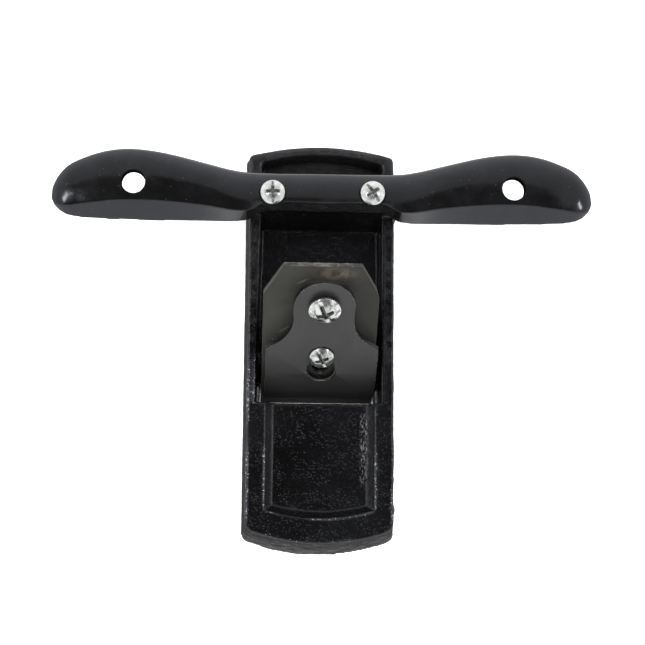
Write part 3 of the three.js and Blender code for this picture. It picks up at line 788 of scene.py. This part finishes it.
def make_handle(finish):
    """The winged handle with its hang holes and screw seats, lumpy along the front of the bar, which the
    finish paints paler as lit.
    """
    piece = add_object("handle_casting", handle_mesh())
    remesh(piece, HANDLE_VOXEL)
    surface = Surface(piece.data)
    surface.points = surface.relaxed(SOFT_ROUNDS)
    points = surface.points
    normals = surface.normals()
    bar_front = below(np.abs(points[:, 0]), *BAR_FRONT["x"]) * below(points[:, 1], *BAR_FRONT["y"])
    ripple = ripples(points, HANDLE_RIPPLES) + bar_front * ripples(points, BAR_FRONT_RIPPLES)
    low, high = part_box("cross_handle")
    surface.points = np.clip(points + normals * (ripple * MM)[:, None], np.array(low), np.array(high))
    surface.write()
    surface.set_attribute("bar_front", bar_front)
    for places, profile in ((HANG_HOLES, hang_hole_profile()), (SCREW_HOLES, screw_hole_profile())):
        for x, y in places:
            cut(piece, bore(x, y, profile))
    surface = Surface(piece.data)
    bores = np.zeros(len(surface.points))
    for x, y in HANG_HOLES:
        reach = np.hypot(surface.points[:, 0] - x * MM, surface.points[:, 1] - y * MM)
        bores += below(reach, *(HANG_HOLE["radius"] + skin for skin in BORE_SKIN))
    surface.set_attribute("bore", bores)
    piece.data.shade_smooth()
    piece.data.set_sharp_from_angle(angle=math.radians(40))
    piece.data.materials.append(finish)
    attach(piece, "stock")
    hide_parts("cross_handle")


# ---- Cutter and lever cap --------------------------------------------------

RIM_SLOT, WALL_SLOT = 1, 2
CREASE = math.radians(14)  # a plate's shading breaks at bends sharper than this
EDGE = math.radians(35)  # and its edges are those sharper than this


def make_plate(name, node, body, surface, rim, width, wall=None, bright_end=None):
    """A CAD plate whose edges are broken by a round of some width in the rim's finish, which paints a
    highlight along them.

    Its upright walls can have a finish of their own, such as a near-black one that paints shade. The end face
    that looks along the direction given as the bright end has the rim's finish too.
    """
    piece = cad_copy(name, node)
    work = bmesh.new()
    work.from_mesh(piece.data)
    bmesh.ops.dissolve_limit(work, angle_limit=math.radians(0.5), verts=work.verts, edges=work.edges)
    work.to_mesh(piece.data)
    work.free()
    piece.data.materials.append(surface)
    piece.data.materials.append(rim)
    # Upright walls can take their own finish. The cap's is near-black, painted as the shade in the gap under
    # its edges.
    if wall:
        piece.data.materials.append(wall)
        out = max(piece.data.polygons, key=lambda face: face.area * max(face.normal.z, 0)).normal.copy()
        for face in piece.data.polygons:
            if abs(face.normal.dot(out)) < 0.3:
                face.material_index = WALL_SLOT
    if bright_end:
        for face in piece.data.polygons:
            if face.normal.dot(bright_end) > 0.95:
                face.material_index = RIM_SLOT
    bevel = piece.modifiers.new("edges", "BEVEL")
    bevel.width = width
    bevel.segments = 3
    bevel.limit_method = "ANGLE"
    bevel.angle_limit = EDGE
    bevel.material = RIM_SLOT
    apply_modifiers(piece)
    piece.data.shade_smooth()
    piece.data.set_sharp_from_angle(angle=CREASE)
    weighted = piece.modifiers.new("normals", "WEIGHTED_NORMAL")
    weighted.keep_sharp = True
    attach(piece, body)
    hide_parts(node)


# ---- Screws ----------------------------------------------------------------

HEAD_VOXEL = 0.11 * MM
# Shares of the head's height: its rim, its broken lower edge, and the floors of its slot and cross.
HEAD_HEIGHTS = {"rim": 0.35, "chamfer": 0.12, "slot": 0.5, "cross": 0.3}
SLOT_LENGTH = 2.6  # in head radii, past both sides
CROSS_SPAN = 1.05  # in head radii
CROSS_ARM = 0.75  # in slot widths
THREAD_DEPTH = 0.55  # in pitches
SHANK_CHAMFER = 0.6 * MM
M5 = {"slot_width": 1.2 * MM, "pitch": 0.8 * MM}
M6 = {"slot_width": 1.5 * MM, "pitch": 1.0 * MM}


def screw_frame(node, axis):
    """A CAD screw's measures: its head's place, radius and height, and its shank's radius and length.

    The place is the middle of the head's underside, and axis points out of the head.
    """
    axis = Vector(axis).normalized()
    side = axis.orthogonal().normalized()
    basis = np.array([side, axis.cross(side), axis])
    points = np.array([v.co for v in NODES[node].data.vertices]) @ basis.T
    middle = (points[:, :2].min(axis=0) + points[:, :2].max(axis=0)) / 2
    reach = np.linalg.norm(points[:, :2] - middle, axis=1)
    head = reach.max()
    underside = points[reach > head - 0.01 * MM, 2].min()
    shank_end = points[:, 2].min()
    shank = reach[points[:, 2] < underside - 0.1 * MM].max()
    return {
        "place": Vector(np.array([*middle, underside]) @ basis),
        "axis": axis,
        "head": head,
        "height": points[:, 2].max() - underside,
        "shank": shank,
        "length": underside - shank_end,
    }


def standing(mesh, fit, turn):
    """Moves a mesh built round Z onto a screw's axis, turned about it."""
    upright = fit["axis"].to_track_quat("Z", "Y").to_matrix().to_4x4()
    mesh.transform(Matrix.Translation(fit["place"]) @ upright @ Matrix.Rotation(turn, 4, "Z"))


def recess_tool(length, width, low, high):
    """A box for cutting a slot, a little wider at the top."""
    flare = 0.12 * width
    points = [[sx * length / 2, sy * width / 2, low] for sx, sy in CORNERS]
    points += [[sx * (length / 2 + flare), sy * (width / 2 + flare), high] for sx, sy in CORNERS]
    faces = [[3, 2, 1, 0], [4, 5, 6, 7], [0, 1, 5, 4], [1, 2, 6, 5], [2, 3, 7, 6], [3, 0, 4, 7]]
    return mesh_from("recess", points, faces)


def make_head(name, fit, turn, slot_width):
    """A domed head with a slot and cross recess and a rounded rim."""
    head, height = fit["head"], fit["height"]
    crown = height - HEAD_HEIGHTS["rim"] * height
    sphere = (head**2 + crown**2) / (2 * crown)
    sweep = math.asin(head / sphere)
    dome = []
    for t in np.linspace(1, 0.02, 24):  # from the rim in to a small flat at the top
        dome.append([sphere * math.sin(sweep * t), height - sphere + sphere * math.cos(sweep * t)])
    chamfer = HEAD_HEIGHTS["chamfer"] * height
    points, faces = lathe([[head - chamfer, 0], [head, chamfer], *dome], 96)
    piece = add_object(name, mesh_from(name, points, faces))
    span, arm = CROSS_SPAN * head, CROSS_ARM * slot_width
    recesses = [(SLOT_LENGTH * head, slot_width, "slot"), (span, arm, "cross"), (arm, span, "cross")]
    for length, width, floor in recesses:
        cut(piece, recess_tool(length, width, HEAD_HEIGHTS[floor] * height, 2 * height))
    remesh(piece, HEAD_VOXEL)
    surface = Surface(piece.data)
    surface.points = surface.relaxed(SOFT_ROUNDS)
    radius = np.linalg.norm(surface.points[:, :2], axis=1)
    skin = height - sphere + np.sqrt(np.maximum(sphere**2 - radius**2, 0))
    # Where the slot and cross sink in, which the zinc finish paints darker as shade.
    sunk = step(skin - surface.points[:, 2], 0.15 * height, 0.7 * height)
    surface.set_attribute("hollow", sunk * step(-radius, -0.97 * head, -0.9 * head))
    surface.write()
    standing(piece.data, fit, turn)
    return piece


def make_shank(name, fit, pitch):
    """A threaded shank with a chamfered end, under the head."""
    sides = 48
    rows_per_turn = 10
    length, crest = fit["length"], fit["shank"]
    rows = int(length / pitch * rows_per_turn)
    heights = -length + length * np.arange(rows + 1) / rows
    turns = np.arange(sides) / sides
    phase = (heights[:, None] / pitch - turns[None, :]) % 1
    thread = crest - THREAD_DEPTH * pitch * (1 - np.abs(2 * phase - 1) ** 0.8)
    tip = crest - SHANK_CHAMFER
    chamfer = np.maximum(tip + (heights + length), tip)
    radius = np.minimum(thread, chamfer[:, None])
    points = np.stack([
        radius * np.cos(2 * np.pi * turns),
        radius * np.sin(2 * np.pi * turns),
        np.repeat(heights[:, None], sides, axis=1),
    ], axis=-1).reshape(-1, 3)
    faces = [list(range(sides))[::-1]]
    for i, j in itertools.product(range(rows), range(sides)):
        a = i * sides + j
        b = i * sides + (j + 1) % sides
        faces.append([a, b, b + sides, a + sides])
    faces.append([rows * sides + j for j in range(sides)])
    piece = add_object(name, mesh_from(name, points, faces))
    piece.data.shade_smooth()
    standing(piece.data, fit, 0)
    return piece


def make_screw(node, body, axis, turn, size, finish):
    """A screw's head, turned by some degrees, and its shank."""
    fit = screw_frame(node, axis)
    head = make_head(node + "_head", fit, math.radians(turn), size["slot_width"])
    shank = make_shank(node + "_shank", fit, size["pitch"])
    for piece in (head, shank):
        piece.data.materials.append(finish)
        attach(piece, body)
        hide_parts(node)


# ---- Light and floor -------------------------------------------------------

FLOOR = {"half": 3.0, "gap": 0.2 * MM}


def make_floor():
    """A pale floor just under the sole, which glossy surfaces don't reflect."""
    corners = [[sx * FLOOR["half"], sy * FLOOR["half"], 0] for sx, sy in CORNERS]
    mesh = mesh_from("floor", corners, [[0, 1, 2, 3]])
    floor = add_object("floor", mesh)
    floor.location.z = -FLOOR["gap"]
    finish = Finish("pale_floor")
    finish.set(Base_Color=grey(0.9), Roughness=0.9)
    mesh.materials.append(finish.material)
    floor.visible_glossy = False


# Light from the dark opening towards the camera's place, and from the tent: overhead, its walls, the ground
# round the tool and the ground close under it.
OPENING = {"radius": math.radians(30), "edge": math.radians(3), "light": 0.06}
TENT = {"top": 0.52, "wall": 1.3, "ground": 1.7, "below": 0.12}
# Sines of the elevations between which one part of the tent goes over into the next.
TENT_FADES = {"top": (0.35, 0.93), "ground": (-0.55, -0.25), "below": (-0.86, -0.6)}
FILL = {"strength": 9, "angle": math.radians(110)}
# Narrow lights that put the highlights on the handle's tips: direction, roll in degrees, size and radiance.
STRIPS = {
    "strip_left": ((-0.535, 0.062, 0.84), 54, (0.08, 0.2), 15.0),
    "strip_right": ((0.65, 0.05, 0.76), -50, (0.055, 0.2), 18.0),
}
STRIP_DISTANCE = 0.9


def make_sky():
    """A light tent that is brighter towards the ground, with a dark opening towards the camera's place."""
    world = bpy.data.worlds.new("studio")
    world.use_nodes = True
    tree = world.node_tree

    def node(kind, *inputs, **settings):
        made = tree.nodes.new("ShaderNode" + kind)
        for key, value in settings.items():
            setattr(made, key, value)
        for socket, value in zip(made.inputs, inputs):
            if isinstance(value, bpy.types.NodeSocket):
                tree.links.new(value, socket)
            else:
                socket.default_value = value
        return made.outputs

    def between(value, low, high, to_low, to_high):
        return node("MapRange", value, low, high, to_low, to_high)["Result"]

    direction = node("TexCoord")["Generated"]
    along_view = node("VectorMath", direction, VIEW_BACK, operation="DOT_PRODUCT")["Value"]
    height = node("SeparateXYZ", direction)["Z"]
    tent = between(height, *TENT_FADES["top"], TENT["wall"], TENT["top"])
    tent = between(height, *TENT_FADES["ground"], TENT["ground"], tent)
    tent = between(height, *TENT_FADES["below"], TENT["below"], tent)
    inner, outer = (math.cos(OPENING["radius"] + side * OPENING["edge"] / 2) for side in (-1, 1))
    light = between(along_view, outer, inner, tent, OPENING["light"])
    tree.links.new(light, tree.nodes["Background"].inputs["Strength"])
    tree.nodes["Background"].inputs["Color"].default_value = grey(1.0)
    bpy.context.scene.world = world


def overhead_fill():
    """Broad light from above that lifts matt surfaces without a reflection of its own."""
    data = bpy.data.lights.new("overhead", "SUN")
    data.energy = FILL["strength"]
    data.angle = FILL["angle"]
    light = bpy.data.objects.new("overhead", data)
    light.visible_glossy = False
    bpy.context.scene.collection.objects.link(light)


def strip_light(name, direction, roll, size, radiance):
    """An area light that faces the object from a direction, its length upright but for the roll."""
    data = bpy.data.lights.new(name, "AREA")
    data.shape = "RECTANGLE"
    data.size, data.size_y = size
    data.energy = radiance * math.pi * size[0] * size[1]
    light = bpy.data.objects.new(name, data)
    back = Vector(direction).normalized()
    light.location = VIEW_TARGET + back * STRIP_DISTANCE
    light.rotation_mode = "QUATERNION"
    light.rotation_quaternion = back.to_track_quat("Z", "Y") @ Quaternion((0, 0, 1), math.radians(roll))
    bpy.context.scene.collection.objects.link(light)


def make_lights():
    overhead_fill()
    for name, settings in STRIPS.items():
        strip_light(name, *settings)


# ---- Assembly --------------------------------------------------------------

make_camera()
make_floor()
make_sky()
make_lights()
bpy.context.scene.view_settings.view_transform = "Standard"

slope_axis = Vector(JOINTS["cutter_slide"]["axis"])
fulcrum_axis = Vector(JOINTS["fulcrum_screw_turn"]["axis"])
clamp_axis = Vector(JOINTS["clamp_screw_turn"]["axis"])
bed_angle = math.atan2(slope_axis.z, slope_axis.y)
cap_angle = math.atan2(-clamp_axis.y, clamp_axis.z)
cutter_edge = (0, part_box("cutter")[0].y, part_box("cutter")[0].z)
cap_nose = (0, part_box("lever_cap")[0].y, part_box("lever_cap")[0].z)
up = (0, 0, 1)
cutter_finish = steel_finish("cutter_steel", 0.0185, 0.12, CUTTER_TINT, bed_angle, cutter_edge, cutter_marks)

make_body(cast_finish())
make_handle(enamel_finish())
make_plate(
    "blade", "cutter", "cutter",
    surface=cutter_finish,
    rim=edge_highlight_finish("cutter_edges", 0.065, (1, 0.96, 0.88)),
    width=0.2 * MM, bright_end=slope_axis,
)
make_plate(
    "cap_plate", "lever_cap", "lever_cap",
    surface=steel_finish("cap_face", 0.008, 0.6, CAP_TINT, cap_angle, cap_nose),
    rim=edge_highlight_finish("cap_edges", 0.4, (1, 1, 1)),
    # The cap's walls are near-black, painted as the shade in the gap under its edges.
    wall=steel_finish("cap_wall_shade", 0.003, 0.1, CAP_TINT, cap_angle, cap_nose),
    width=0.32 * MM,
)
clean_zinc = zinc_finish("zinc_plate", 0.1)
grimy_shaded_zinc = zinc_finish("zinc_handled_shaded", 0.75)
make_screw("handle_screw_left", "stock", up, 92, M5, clean_zinc)
make_screw("handle_screw_right", "stock", up, 125, M5, clean_zinc)
make_screw("fulcrum_screw", "fulcrum_screw", fulcrum_axis, 113, M5, grimy_shaded_zinc)
make_screw("clamp_screw", "clamp_screw", clamp_axis, 112, M6, grimy_shaded_zinc)
